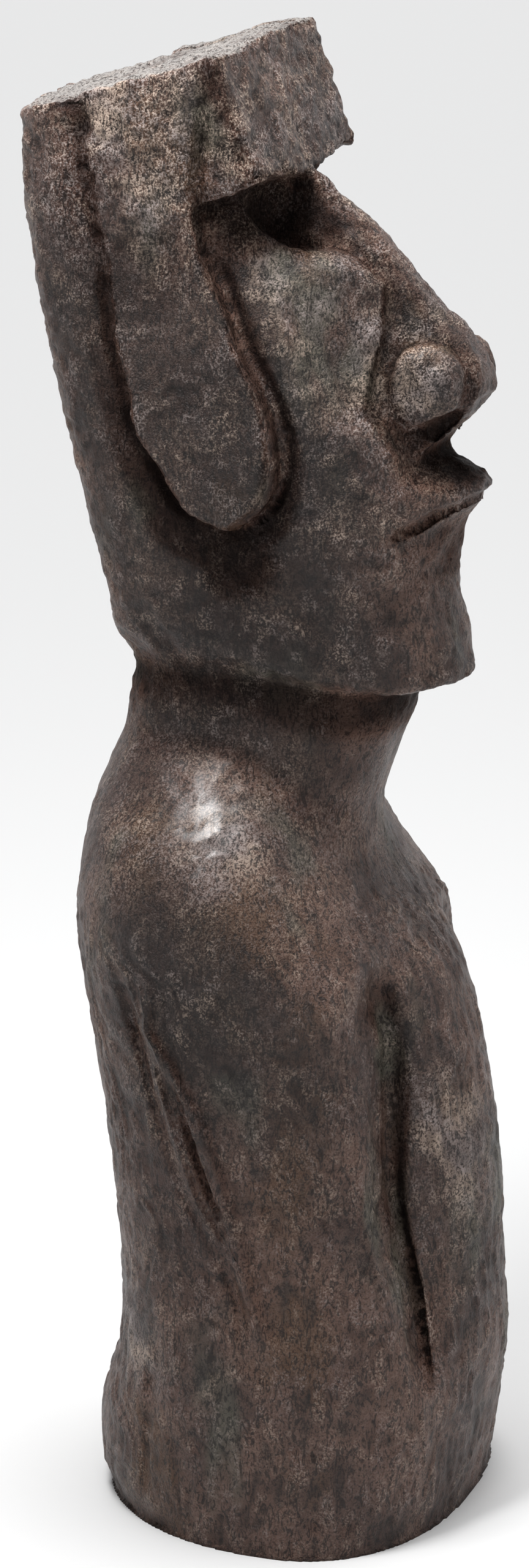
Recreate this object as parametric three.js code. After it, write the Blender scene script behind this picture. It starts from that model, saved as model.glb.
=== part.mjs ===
// A moai figure: a long head that leans back on a bare torso, with its arms lying flat against its sides.
// It is one solid piece that stands on its flat underside.
// Units are millimetres. +Z is up, the face looks along -Y, and the origin is in the middle of the
// underside.
//
// The form is written as one signed distance, negative inside. Rays shot inwards at a spine find its surface,
// ring by ring, and the rings are skinned into one closed mesh whose lines follow the arms and the ears.
import * as THREE from "three";

// ---- Driving dimensions ----
// Lists of pairs are profiles, [height, size]. A smooth curve is drawn through them.
const HEAD_TILT = THREE.MathUtils.degToRad(16.5); // how far the head leans back
const HEAD_PIVOT = 330; // height of the head frame's origin, in the top of the neck

// The torso's plan is a superellipse whose widest line lies at y = middle.
const TORSO = {
  top: 322,
  middle: [[0, -17], [30, -12], [60, -6], [120, 3], [180, 6], [240, 9], [280, 20], [320, 24]],
  front: [
    [0, 76], [25, 81], [68, 87], [105, 87], [142, 86], [182, 80], [222, 69], [241, 55],
    [261, 39], [277, 30], [287, 26.5], [301, 20], [311, 13], [322, 0],
  ],
  back: [
    [0, 73], [12, 77], [30, 77.5], [50, 72.5], [68, 67], [110, 65.5], [151, 69], [191, 75], [231, 81.5],
    [252, 82.5], [272, 81], [290, 78], [307, 71], [322, 60],
  ],
  halfWidth: [
    [0, 90], [30, 91], [60, 90], [100, 88], [150, 90], [200, 93],
    [240, 94], [262, 89], [283, 77], [300, 62], [312, 50], [322, 38],
  ],
  frontSquareness: [[0, 2.3], [80, 2.15]],
  backSquareness: [[0, 2.1], [90, 2.4]],
};
// Between the arms the belly is narrower than the whole torso.
const BELLY_HALF_WIDTH = [
  [40, 88], [58, 85], [80, 73], [105, 62], [130, 57], [160, 56],
  [205, 56], [226, 62], [240, 76], [252, 84], [270, 78], [300, 52], [322, 30],
];
// The y of each arm's front and rear edges, and the depth of the groove along the rear one.
const ARM = {
  front: [
    [60, -76], [67, -70], [100, -63], [121, -58], [142, -54],
    [182, -52], [202, -50.5], [228, -47], [256, -62],
  ],
  rear: [[62, -26], [80, -16], [96, -8], [128, 6], [149, 17], [173, 25], [207, 35], [241, 47]],
  groove: [[66, 0], [90, 4], [130, 6], [215, 6], [244, 0]],
};
const NECK = {
  bottom: 262,
  top: 372,
  middle: 8,
  halfWidth: 44,
  front: [[262, 33], [287, 34.5], [310, 41.5], [331, 50], [360, 56]],
  back: [[262, 66], [300, 68], [320, 66.5], [335, 64], [345, 61.5], [360, 57]],
};
// From here down, heights h and depths f are in the head's own tilted frame, f towards the face.
const SKULL = {
  front: [
    [-13, 74.5], [5, 76], [35, 79], [50, 85.5], [66, 88], [83, 86], [105, 86],
    [130, 90], [142, 90.5], [152, 88], [160, 82], [170, 74.5], [198, 59],
  ],
  back: [[-17, 62.5], [23, 61], [61, 55.5], [100, 53], [140, 50], [178, 47], [215, 41.5], [252, 30.5]],
  halfWidth: [[-13, 46], [10, 49.5], [33, 51.5], [56, 54], [105, 58], [140, 60], [252, 60]],
  squareness: [[10, 2.2], [60, 2.3], [105, 2.9], [125, 3.1], [166, 2.7]],
};
// The flat front plane of each cheek, which the nose stands on: it passes through x = 0 at f = reach.
const CHEEK = { slope: 0.9, reach: [[84, 112], [115, 104], [158, 104], [185, 112]] };
const CROWN = { height: 253.5, dome: 2.5 };
const BROW = { bottom: 198, sag: 3.5, front: 66.8, slope: 0.055, rear: 14, halfWidth: 61.5 };
const EYE = { x: 25, f: 69, h: 188, halfWidth: 20, depth: 24, halfHeight: 17, slant: 0.3 };
const NOSE = {
  bridge: [[93, 108], [97, 112], [104, 114.2], [112, 112.8], [150, 95.2], [183, 78.5], [194, 71.5]],
  halfWidth: [[90, 13], [110, 12], [150, 9.8], [194, 6]],
  flare: [[105, 0.42], [130, 0.3], [150, 0.25], [175, 0.2], [195, 0.15]], // widening per mm behind the bridge
  bottom: 84,
  top: 200,
};
const NOSTRIL = {
  x: 18.5,
  f: 92,
  h: 108,
  halfWidth: 12.5,
  depth: 18,
  halfHeight: 17,
  bottom: 93.5,
  outside: 28.5,
};
const LIPS = { f: 50, h: 65, halfWidth: 38, depth: 50.5, halfHeight: 20 };
const LIP_LINE = { height: 60.7, halfWidth: 33, droop: 3.5, halfOpening: 1.6, depth: 3.5 };
const EAR = {
  outside: 67,
  bottom: 72,
  top: 216,
  front: [[76, 20], [81, 32], [98, 42.6], [117, 44.6], [141, 41.8], [171, 38], [196, 35]],
  rear: [[76, 14], [85, 2], [100, -5], [124, -9.8], [153, -8.7], [190, -3]],
};
// The raised block over each ear leans forwards and broadens on its way up to the crown.
const EAR_BLOCK = { outside: 63.7, bottom: 198, f: 17, lean: 0.27, halfDepth: 19, broadening: 0.14 };

// ---- Smooth curves and blended distances ----
function profile(stations, at) {
  const last = stations.length - 1;
  if (at <= stations[0][0]) return stations[0][1];
  if (at >= stations[last][0]) return stations[last][1];
  const i = stations.findIndex((station) => at < station[0]) - 1;
  const slope = (j) => {
    const before = stations[Math.max(j - 1, 0)];
    const after = stations[Math.min(j + 1, last)];
    return (after[1] - before[1]) / (after[0] - before[0]);
  };
  const [x0, v0] = stations[i];
  const [x1, v1] = stations[i + 1];
  const s = (at - x0) / (x1 - x0);
  const bend = (1 - s) * slope(i) - s * slope(i + 1);
  return v0 + (v1 - v0) * s * s * (3 - 2 * s) + (x1 - x0) * s * (1 - s) * bend;
}

const ramp = (t, from, to) => THREE.MathUtils.smoothstep(t, from, to);

// The nearer and the farther of two distances, blended over a width k.
function join(a, b, k) {
  const overlap = Math.max(k - Math.abs(a - b), 0);
  return Math.min(a, b) - (overlap * overlap) / (4 * k);
}
const common = (a, b, k) => -join(-a, -b, k);

// A superellipse in plan, as a distance along the ray from its middle.
function superellipse(x, y, halfWidth, depth, squareness) {
  const reach = Math.abs(x / halfWidth) ** squareness + Math.abs(y / depth) ** squareness;
  const length = Math.hypot(x, y);
  return length - length / Math.max(reach ** (1 / squareness), 1e-6);
}

function ellipsoid(x, y, z, rx, ry, rz) {
  const k0 = Math.hypot(x / rx, y / ry, z / rz);
  const k1 = Math.hypot(x / rx ** 2, y / ry ** 2, z / rz ** 2);
  return (k0 * (k0 - 1)) / Math.max(k1, 1e-9);
}

function roundedBox(x, y, halfX, halfY, radius) {
  const qx = Math.abs(x) - halfX + radius;
  const qy = Math.abs(y) - halfY + radius;
  return Math.hypot(Math.max(qx, 0), Math.max(qy, 0)) + Math.min(Math.max(qx, qy), 0) - radius;
}

// ---- Torso and neck ----
function torsoPlan(x, y, z, halfWidth) {
  const middle = profile(TORSO.middle, z);
  const inFront = y < middle;
  const depth = inFront ? profile(TORSO.front, z) + middle : profile(TORSO.back, z) - middle;
  const squareness = profile(inFront ? TORSO.frontSquareness : TORSO.backSquareness, z);
  return superellipse(x, y - middle, halfWidth, depth, squareness);
}

function torso(x, y, z) {
  const belly = torsoPlan(x, y, z, profile(BELLY_HALF_WIDTH, z));
  const whole = torsoPlan(x, y, z, profile(TORSO.halfWidth, z));
  const arms = common(whole, (profile(ARM.front, z) - y) * 0.95, 9);
  const behindArm = y - profile(ARM.rear, z);
  const groove = profile(ARM.groove, z);
  const carved =
    groove * Math.exp(-((behindArm / 3.4) ** 2)) +
    0.4 * groove * ramp(behindArm, 0, 8) * (1 - ramp(behindArm, 10, 45));
  return common(join(belly, arms, 4) + carved, z - TORSO.top, 10);
}

function neck(x, y, z) {
  const inFront = y < NECK.middle;
  const depth = inFront ? profile(NECK.front, z) + NECK.middle : profile(NECK.back, z) - NECK.middle;
  const plan = superellipse(x, y - NECK.middle, NECK.halfWidth, depth, inFront ? 2.3 : 3);
  return Math.max(plan, z - NECK.top, NECK.bottom - z);
}

// ---- Head ----
const aboveCrown = (x, h) => h - CROWN.height + CROWN.dome * (x / 60) ** 2;

function skull(x, f, h) {
  const inFront = f > 0;
  const depth = profile(inFront ? SKULL.front : SKULL.back, h);
  const squareness = inFront ? profile(SKULL.squareness, h) : 3.4;
  const plan = superellipse(x, f, profile(SKULL.halfWidth, h), depth, squareness);
  const cheek = (f + CHEEK.slope * Math.abs(x) - profile(CHEEK.reach, h)) / Math.hypot(1, CHEEK.slope);
  return common(common(plan, cheek, 3), aboveCrown(x, h), 3);
}

function brow(x, f, h) {
  const bottom = BROW.bottom - BROW.sag * Math.exp(-((x / 20) ** 2));
  const face = f - (BROW.front - BROW.slope * (h - BROW.bottom));
  const corners = common(face, Math.abs(x) - BROW.halfWidth, 12);
  const ends = Math.max(bottom - h, aboveCrown(x, h));
  return Math.max(common(corners, ends, 3.5), BROW.rear - f);
}

function nose(x, f, h) {
  const bridge = profile(NOSE.bridge, h);
  const flare = profile(NOSE.flare, h);
  const halfWidth = profile(NOSE.halfWidth, h) + flare * Math.max(bridge - f, 0);
  const sides = (Math.abs(x) - halfWidth) / Math.hypot(1, flare);
  const underside = (NOSE.bottom + 0.5 * (f - 91) - h) * 0.9;
  const ends = Math.max(common(underside, h - NOSE.top, 2), 40 - f);
  const body = common(common((f - bridge) * 0.9, sides, 7), ends, 4);
  const { halfWidth: rx, depth: ry, halfHeight: rz } = NOSTRIL;
  const bulge = ellipsoid(Math.abs(x) - NOSTRIL.x, f - NOSTRIL.f, h - NOSTRIL.h, rx, ry, rz);
  const wing = common(common(bulge, NOSTRIL.bottom - h, 2), Math.abs(x) - NOSTRIL.outside, 3);
  return join(body, wing, 3);
}

const lips = (x, f, h) => ellipsoid(x, f - LIPS.f, h - LIPS.h, LIPS.halfWidth, LIPS.depth, LIPS.halfHeight);

// The line between the lips droops towards its ends.
function lipLine(x, f, h) {
  const height = LIP_LINE.height - LIP_LINE.droop * ramp(Math.abs(x), 0, 38);
  const opening = Math.abs(h - height) - LIP_LINE.halfOpening;
  const depth = -lips(x, f, h) - LIP_LINE.depth;
  return Math.max(opening, depth, Math.abs(x) - LIP_LINE.halfWidth, 55 - f);
}

// Each eye hollow slants up from the nose.
function eyeSocket(x, f, h) {
  const out = Math.abs(x) - EYE.x;
  return ellipsoid(out, f - EYE.f, h - EYE.h - EYE.slant * out, EYE.halfWidth, EYE.depth, EYE.halfHeight);
}

function ear(x, f, h) {
  const front = profile(EAR.front, h);
  const rear = profile(EAR.rear, h);
  const acrossStrap = Math.abs(f - (front + rear) / 2) - (front - rear) / 2;
  const outline = common(acrossStrap, Math.max(EAR.bottom - h, h - EAR.top), 14);
  const strap = common(outline, Math.abs(x) - EAR.outside, 6);
  const up = h - EAR_BLOCK.bottom;
  const halfDepth = EAR_BLOCK.halfDepth + EAR_BLOCK.broadening * up;
  const blockOutline = roundedBox(f - EAR_BLOCK.f - EAR_BLOCK.lean * up, up - 32, halfDepth, 33, 5);
  const block = common(common(blockOutline, Math.abs(x) - EAR_BLOCK.outside, 5), aboveCrown(x, h), 4);
  return Math.max(join(strap, block, 3), 45 - Math.abs(x));
}

function head(x, y, z) {
  const up = z - HEAD_PIVOT;
  const f = -y * Math.cos(HEAD_TILT) + up * Math.sin(HEAD_TILT);
  const h = y * Math.sin(HEAD_TILT) + up * Math.cos(HEAD_TILT);
  let d = common(skull(x, f, h), -eyeSocket(x, f, h), 8);
  d = join(d, lips(x, f, h), 8);
  d = join(d, nose(x, f, h), 3);
  d = join(d, brow(x, f, h), 2);
  d = join(d, ear(x, f, h), 1.5);
  d = common(d, -lipLine(x, f, h), 1);
  return common(d, jawUnderside(x, y) - z, 7);
}

// The jaw's underside rises to the sides and the back, and again under the tip of the chin.
function jawUnderside(x, y) {
  return 335.5 + 10.5 * (x / 50) ** 2 + 0.12 * Math.max(y + 25, 0) + 0.3 * Math.max(-52 - y, 0);
}

const statue = (x, y, z) => join(join(torso(x, y, z), neck(x, y, z), 9), head(x, y, z), 4);

// ---- Rings ----
// A ring has its centre on the spine at (0, y, z), a tilt about X, and the four angles, measured from the
// front, that the mesh lines follow: the crease beside the nose, the corner of the face, and the front and
// rear edges of the arm or ear. It may rise towards its sides and back, as the jaw does, or droop off the
// front, as the lips do.
const MESH_LINES = {
  crease: [[60, 21], [93, 21], [105, 22.5], [118, 20], [130, 14], [150, 9.5], [175, 10]],
  corner: [[60, 40], [100, 39], [140, 39.5], [165, 48], [252, 51]],
  earFront: [
    [50, 40], [71, 26], [76, 28], [81, 33.5], [90, 39.5], [98, 42.6],
    [117, 44.6], [141, 41.8], [171, 38], [196, 35], [252, 58.2],
  ],
  earRear: [[50, -6], [71, 12], [76, 9], [85, 1.5], [100, -5], [124, -9.8], [153, -8.7], [190, -3], [252, 5]],
};
const angleTo = (x, ahead) => THREE.MathUtils.radToDeg(Math.atan2(x, ahead));
const mix = (a, b, s) => a + (b - a) * s;

function bodyRing(z) {
  const y = 6;
  const height = Math.min(z, 228);
  const middle = profile(TORSO.middle, height);
  const angleAtEdge = (edge, depth) => {
    const across = Math.max(1 - Math.abs((edge - middle) / depth) ** 2.2, 0.02) ** (1 / 2.2);
    return angleTo(profile(TORSO.halfWidth, height) * across, y - edge);
  };
  const front = angleAtEdge(profile(ARM.front, height), profile(TORSO.front, height) + middle);
  const rear = angleAtEdge(profile(ARM.rear, height), profile(TORSO.back, height) - middle);
  const aboveArms = ramp(z, 228, 310);
  const edges = [mix(front, 62, aboveArms), mix(rear, 108, aboveArms)];
  return { y, z, tilt: 0, rise: 0, droop: 0, lines: [0.36 * edges[0], 0.72 * edges[0], ...edges] };
}

function headRing(h, droop = 0) {
  const f = 14;
  return {
    y: h * Math.sin(HEAD_TILT) - f * Math.cos(HEAD_TILT),
    z: HEAD_PIVOT + h * Math.cos(HEAD_TILT) + f * Math.sin(HEAD_TILT),
    tilt: HEAD_TILT,
    rise: 0,
    droop,
    lines: [
      profile(MESH_LINES.crease, h),
      profile(MESH_LINES.corner, h),
      angleTo(62, profile(MESH_LINES.earFront, h) - f),
      angleTo(62, profile(MESH_LINES.earRear, h) - f),
    ],
  };
}

function ringBetween(a, b, s) {
  const ring = { lines: a.lines.map((angle, i) => mix(angle, b.lines[i], s)) };
  for (const key of ["y", "z", "tilt", "rise", "droop"]) ring[key] = mix(a[key], b[key], s);
  return ring;
}

function allRings() {
  const bodyHeights = [
    0, 14, 29, 44, 58, 70, 84, 100, 116, 132, 148, 164, 180, 195, 209,
    221, 231, 240, 250, 260, 270, 279, 288, 297, 306, 315, 324,
  ];
  const jaw = [331, 334.5, 337.5, 341].map((z) => ({ ...bodyRing(z), rise: 12 }));
  const mouth = [
    [50, 1], [54, 2.2], [57, 3.2], [59.2, 3.5], [60.7, 3.5], [62.2, 3.5], [65, 3], [70, 2], [74, 1],
  ].map(([h, droop]) => headRing(h, droop));
  const face = [
    78, 83, 88, 93, 98, 104, 110, 117, 126, 136, 147, 158, 166, 172, 177, 182, 187, 192, 195.5,
    198.5, 202, 216, 234, 248, 252,
  ].map((h) => headRing(h));
  const cheeks = [0.14, 0.32, 0.5, 0.68, 0.85].map((s) => ringBetween(jaw[3], mouth[0], s));
  return [...bodyHeights.map(bodyRing), ...jaw, ...cheeks, ...mouth, ...face];
}

// Angles from the front to the back: even steps between the followed lines,
// with three lines close together at each edge of the arm or ear.
function halfTurn([crease, corner, front, rear]) {
  const steps = (from, to, count) => Array.from({ length: count }, (_, i) => mix(from, to, i / count));
  const gap = 2.2;
  return [
    ...steps(0, crease, 5),
    ...steps(crease, corner, 5),
    ...steps(corner, front - gap, 4),
    ...steps(front - gap, front + gap, 2),
    ...steps(front + gap, rear - gap, 7),
    ...steps(rear - gap, rear + gap, 2),
    ...steps(rear + gap, 180, 10),
  ];
}

function ringAngles(ring) {
  const right = halfTurn(ring.lines);
  const left = right.slice(1).map((angle) => 360 - angle);
  return [...right, 180, ...left.reverse()];
}

// The first surface point met by a ray that comes in towards the ring's centre at this angle.
function surfacePoint(ring, angle) {
  const turn = THREE.MathUtils.degToRad(angle);
  const across = Math.sin(turn);
  const ahead = Math.cos(turn);
  const rise = ring.rise * (ahead > 0 ? across ** 2 : 1);
  const droop = ring.droop * ramp(Math.abs(across), 0, 0.46);
  const at = (r) => [
    r * across,
    ring.y - r * ahead * Math.cos(ring.tilt),
    ring.z + rise - droop + r * ahead * Math.sin(ring.tilt),
  ];
  let r = 150;
  for (let step = 0; step < 300; step++) {
    const d = statue(...at(r));
    if (d < 0.01) break;
    r -= Math.max(d * 0.5, 0.01);
  }
  return at(r);
}

// ---- Skin ----
function skin() {
  const rings = allRings();
  const positions = [];
  for (const ring of rings) {
    for (const angle of ringAngles(ring)) positions.push(...surfacePoint(ring, angle));
  }
  const count = ringAngles(rings[0]).length;
  const faces = [];
  for (let k = 0; k + 1 < rings.length; k++) {
    for (let i = 0; i < count; i++) {
      const j = (i + 1) % count;
      const [a, b, c, d] = [k * count + i, k * count + j, (k + 1) * count + j, (k + 1) * count + i];
      faces.push(a, b, c, a, c, d);
    }
  }
  // The underside is flat, and the crown closes on the middle of its low dome.
  const underside = positions.length / 3;
  const top = headRing(CROWN.height);
  positions.push(0, 0, 0, 0, top.y, top.z);
  const lastRing = (rings.length - 1) * count;
  for (let i = 0; i < count; i++) {
    const j = (i + 1) % count;
    faces.push(underside, j, i, underside + 1, lastRing + i, lastRing + j);
  }
  const geometry = new THREE.BufferGeometry();
  geometry.setAttribute("position", new THREE.Float32BufferAttribute(positions, 3));
  geometry.setIndex(faces);
  geometry.computeVertexNormals();
  return geometry;
}

// ---- The part ----
const material = new THREE.MeshStandardMaterial({ color: 0x5a504b, roughness: 0.6, metalness: 0 });
const figure = new THREE.Mesh(skin(), material);
figure.name = "moai_statue";

const part = new THREE.Group();
part.add(figure);

export default part;
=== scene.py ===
import math

import bpy
import numpy as np
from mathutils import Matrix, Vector


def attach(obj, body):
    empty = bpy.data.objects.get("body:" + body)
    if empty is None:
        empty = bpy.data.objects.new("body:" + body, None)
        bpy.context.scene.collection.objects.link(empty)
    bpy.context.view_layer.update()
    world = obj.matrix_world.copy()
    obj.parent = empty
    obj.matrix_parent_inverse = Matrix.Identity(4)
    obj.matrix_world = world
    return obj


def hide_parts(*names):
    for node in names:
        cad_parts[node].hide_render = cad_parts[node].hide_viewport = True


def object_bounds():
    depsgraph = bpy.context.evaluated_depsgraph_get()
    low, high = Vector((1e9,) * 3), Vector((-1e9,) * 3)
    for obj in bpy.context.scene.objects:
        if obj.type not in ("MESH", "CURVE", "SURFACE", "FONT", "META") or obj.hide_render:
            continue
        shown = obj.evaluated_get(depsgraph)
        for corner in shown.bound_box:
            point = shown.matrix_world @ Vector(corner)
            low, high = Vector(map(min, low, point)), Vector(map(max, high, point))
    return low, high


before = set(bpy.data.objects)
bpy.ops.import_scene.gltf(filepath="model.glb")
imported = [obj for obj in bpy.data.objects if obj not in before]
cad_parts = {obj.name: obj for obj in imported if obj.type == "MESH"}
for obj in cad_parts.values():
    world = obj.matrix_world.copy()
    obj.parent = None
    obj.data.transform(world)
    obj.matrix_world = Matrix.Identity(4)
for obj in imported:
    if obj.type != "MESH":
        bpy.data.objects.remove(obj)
CAD_LOW, CAD_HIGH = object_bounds()
MM = 0.001

# ---- The form's driving dimensions, close to those of the CAD solid ----
# Lists of pairs are profiles, [height, size]. A smooth curve is drawn through them.
HEAD_TILT = math.radians(16.5)
HEAD_PIVOT = 330
TORSO_TOP = 322
TORSO_MIDDLE = [[0, -17], [30, -12], [60, -6], [120, 3], [180, 6], [240, 9], [280, 20], [320, 24]]
TORSO_FRONT = [
    [0, 76], [25, 81], [68, 87], [105, 87], [142, 86], [182, 80], [222, 69], [241, 55],
    [261, 39], [277, 30], [287, 26.5], [301, 20], [311, 13], [322, 0],
]
TORSO_BACK = [
    [0, 73], [12, 77], [30, 77.5], [50, 72.5], [68, 67], [110, 65.5], [151, 69], [191, 75], [231, 81.5],
    [252, 82.5], [272, 81], [290, 78], [307, 71], [322, 60],
]
TORSO_HALF_WIDTH = [
    [0, 90], [30, 91], [60, 90], [100, 88], [150, 90], [200, 93],
    [240, 94], [262, 89], [283, 77], [300, 62], [312, 50], [322, 38],
]
# A squareness of 2 is an ellipse, and more is nearer a rectangle.
FRONT_SQUARENESS = [[0, 2.3], [80, 2.15]]
BACK_SQUARENESS = [[0, 2.1], [90, 2.4]]
BELLY_HALF_WIDTH = [
    [40, 88], [58, 85], [80, 73], [105, 62], [130, 57], [160, 56],
    [205, 56], [226, 62], [240, 76], [252, 84], [270, 78], [300, 52], [322, 30],
]
ARM_FRONT = [
    [60, -76], [67, -70], [100, -63], [121, -58], [142, -54],
    [182, -52], [202, -50.5], [228, -47], [256, -62],
]
ARM_REAR = [[62, -26], [80, -16], [96, -8], [128, 6], [149, 17], [173, 25], [207, 35], [241, 47]]
ARM_GROOVE = [[95, 0], [130, 1.0], [160, 2.0], [210, 2.8], [246, 0]]
NECK_BOTTOM, NECK_TOP, NECK_MIDDLE, NECK_HALF_WIDTH = 262, 372, 8, 44
NECK_FRONT = [[262, 33], [287, 34.5], [310, 41.5], [331, 50], [360, 56]]
NECK_BACK = [[262, 66], [300, 68], [320, 66.5], [335, 64], [345, 61.5], [360, 57]]
NECK_FRONT_SQUARENESS, NECK_BACK_SQUARENESS = 2.3, 3
JAW_BOTTOM, JAW_ARCH = 335.5, 10.5  # lowest in the middle, and how much higher 50 mm to each side
# From here down, heights h and depths f are in the head's own tilted frame, f towards the face.
SKULL_FRONT = [
    [-13, 74.5], [5, 76], [35, 79], [50, 85.5], [66, 88], [83, 86], [105, 86],
    [130, 90], [142, 90.5], [152, 88], [160, 82], [170, 74.5], [198, 59],
]
SKULL_BACK = [
    [-17, 62.5], [23, 61], [61, 55.5], [100, 53], [140, 50], [178, 47], [215, 41.5], [252, 30.5],
]
SKULL_HALF_WIDTH = [[-13, 46], [10, 49.5], [33, 51.5], [56, 54], [105, 58], [140, 60], [252, 60]]
SKULL_SQUARENESS = [[10, 2.2], [60, 2.3], [105, 2.9], [125, 3.1], [166, 2.7]]
SKULL_BACK_SQUARENESS = 3.4
CHEEK_REACH = [[84, 112], [115, 104], [158, 104], [185, 112]]
CHEEK_SLOPE = 0.9
CROWN_HEIGHT, CROWN_DOME = 253.5, 2.5
BROW_BOTTOM, BROW_SAG, BROW_HALF_WIDTH = 198, 3.5, 61.5
BROW_FRONT, BROW_SLOPE, BROW_REAR = 66.8, 0.055, 14
EYE_CENTRE, EYE_RADII, EYE_SLANT = (25, 69, 188), (20, 24, 17), 0.3
NOSE_BRIDGE = [
    [93, 108], [97, 112], [104, 114.2], [112, 112.8], [150, 95.2], [183, 78.5], [194, 71], [200, 65],
]
NOSE_HALF_WIDTH = [[90, 13], [110, 12], [150, 9.8], [194, 6]]
NOSE_FLARE = [[105, 0.42], [130, 0.3], [150, 0.25], [175, 0.2], [195, 0.15]]
NOSE_BOTTOM, NOSE_TOP = 84, 200
NOSTRIL_CENTRE, NOSTRIL_RADII, NOSTRIL_BOTTOM = (18.5, 92, 108), (12.5, 18, 17), 93.5
NOSTRIL_OUTSIDE = 28.5
NOSTRIL_HOLE, NOSTRIL_HOLE_RADII = (17, 97, 89.5), (7, 6.5, 5)
LIPS_CENTRE, LIPS_RADII = (0, 50, 65), (38, 50.5, 20)
LIP_LINE, LIP_DROOP, LIP_HALF_WIDTH = 60.7, 3.5, 36
EAR_OUTSIDE, EAR_BOTTOM, EAR_TOP = 67, 72, 216
EAR_FRONT = [[76, 20], [81, 32], [98, 42.6], [117, 44.6], [141, 41.8], [171, 38], [196, 35]]
EAR_REAR = [[76, 14], [85, 2], [100, -5], [124, -9.8], [153, -8.7], [190, -3]]
BLOCK_OUTSIDE, BLOCK_BOTTOM = 63.7, 198
BLOCK_MIDDLE, BLOCK_HALF_HEIGHT, BLOCK_ROUNDING = 32, 35, 9  # its middle lies this far above its bottom
BLOCK_F, BLOCK_LEAN = 17, 0.27  # where the middle of the block is at its bottom, and its slope forwards
BLOCK_HALF_DEPTH, BLOCK_BROADENING = 19, 0.14

# ---- The finer carving, which the CAD solid leaves out ----
UNEVENNESS = 3.0  # how far edges of the head wander from true
EAR_HOLLOW = 1.6  # depth of the hollow in the upper ear
EAR_LOBE = 1.5  # how much farther out the lobe stands than the ear above it
EAR_CHANNEL = 2.0  # depth of the channel in front of the ear
EAR_REAR_CHANNEL = 2.2  # and of the one behind it
BLOCK_CRACK = 2.0  # depth of the cracks in front of the block over the ear and behind it
ARM_FRONT_CUT = 3.2  # depth of the cut along the arm's front edge
STRAND_RISE = 2.4  # height of the ridge that runs down the arm
ARM_LIP = 1.2  # height of the lip along the arm's rear edge
RIPPLE, RIPPLE_SPACING = 0.6, 4.8  # height of the ripples between the two, and how far apart they are
BEHIND_ARM = 1.3  # depth of the wide hollow behind the arm
BELLY_FOLD_DEPTH, BACK_CREASE_DEPTH = 1.6, 1.2
NOSE_CREASE = 1.8  # depth of the crease between the nose and each cheek
LIP_GROOVE = 2.8  # depth of the line between the lips
STRAND = [[98, -13], [148, 0], [188, 14], [215, 30]]  # y of the ridge that runs down the arm, by height
BELLY_FOLD = [[74, 40], [112, 37]]  # x of the short fold low on each side of the belly
BACK_CREASE = [[15, 38], [70, 35]]  # y of the crease low on each side of the back
# Small losses: where, in x, y, z, and the radius and depth of each.
CHIPS = [
    (-52, 45, 366, 5, 3.0), (-49, 38, 358, 4, 2.5), (-53, 51, 357, 3.5, 2.2),
    (-47, 33, 351, 3.5, 2.0), (-88, -17, 146, 2.2, 1.6), (-87, -21, 138, 2.0, 1.5),
    (-88, -30, 47, 2.6, 1.4), (-86, -37, 45, 2.4, 1.4), (-86, -38, 16, 2.8, 1.6),
    (-80, -50, 14, 3.2, 1.7), (-33, -81, 71, 2.4, 1.6), (-30, -84, 64, 1.8, 1.2),
    (-62, 64, 560, 3.5, 1.8), (-66, 40, 575, 3.0, 1.5), (60, -20, 590, 4.0, 1.6),
    (58, 50, 470, 3.5, 1.3),
]

# The worn stone's bumps: the depth of each kind and its size, along each axis where that differs.
LUMPS = 0.9, 34
SMALL_LUMPS = 0.8, 12
GRAIN = 1.2, 5.2
FINE_GRAIN = 1.0, 2.8
STROKES = 1.4, (2.6, 2.6, 7)
LONG_STROKES = 0.5, (5, 5, 24)
CROWN_GRAIN = 1.5, 3.4
EDGE_BREAKS, CROWN_BREAKS = 0.9, 2.2  # depth of the breaks along the edges, lower down and on the crown
BREAK_SIZE = 6.5
HIGHEST_BUMP = 0.8  # the fine bumps' middle lies this far below the smooth form, which cuts off higher ones

# Where the finish is stained, waxed or worn through, in x, y, z and radius. One pale patch is partly a
# painted highlight.
STAINS = {
    "rust": [
        (-65, 40, 560, 9), (-64, 26, 545, 18), (-66, -10, 445, 7),
        (-67, 5, 415, 10), (-57, 40, 425, 10), (-20, -55, 477, 12),
        (-75, 35, 280, 16), (-88, 0, 258, 24), (-85, -28, 155, 16), (-83, -35, 95, 18),
        (-82, 30, 25, 18), (-86, -40, 30, 14),
    ],
    "green": [
        (-44, -25, 494, 18), (-43, -38, 466, 16), (-45, -37, 410, 14),
        (-66, 37, 520, 5), (-57, 45, 415, 7),
        (-91, -9, 195, 14), (-42, -52, 200, 10), (-15, -84, 140, 28),
    ],
    "waxed": [(-67, 5, 292, 15)],
    "pale": [
        (-64, 53, 566, 13), (-65, 44, 533, 8), (-51, -6, 502, 8), (-50, -16, 480, 5), (-28, -58, 462, 11),
        (-38, -45, 470, 12), (-45, -28, 496, 12), (-30, -74, 165, 14),
        # The pale patch at (-67, 5, 292) is partly worn stone and partly a painted highlight, where the wax
        # catches the softbox.
        (-67, 5, 292, 15), (-72, 43, 75, 12), (-20, -84, 150, 14),
    ],
}


# ---- Smooth curves and blended distances ----
def profile(stations, at):
    heights, values = np.array(stations, float).T
    last = len(heights) - 1
    at = np.clip(at, heights[0], heights[-1])
    i = np.clip(np.searchsorted(heights, at, side="right") - 1, 0, last - 1)
    before = np.maximum(np.arange(last + 1) - 1, 0)
    after = np.minimum(np.arange(last + 1) + 1, last)
    slope = (values[after] - values[before]) / (heights[after] - heights[before])
    span = heights[i + 1] - heights[i]
    s = (at - heights[i]) / span
    bend = (1 - s) * slope[i] - s * slope[i + 1]
    return values[i] + (values[i + 1] - values[i]) * s * s * (3 - 2 * s) + span * s * (1 - s) * bend


def ramp(t, start, end):
    s = np.clip((t - start) / (end - start), 0, 1)
    return s * s * (3 - 2 * s)


def window(t, start, end, fade):
    """1 between start and end, fading to 0 outside them."""
    return ramp(t, start - fade, start) * (1 - ramp(t, end, end + fade))


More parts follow.
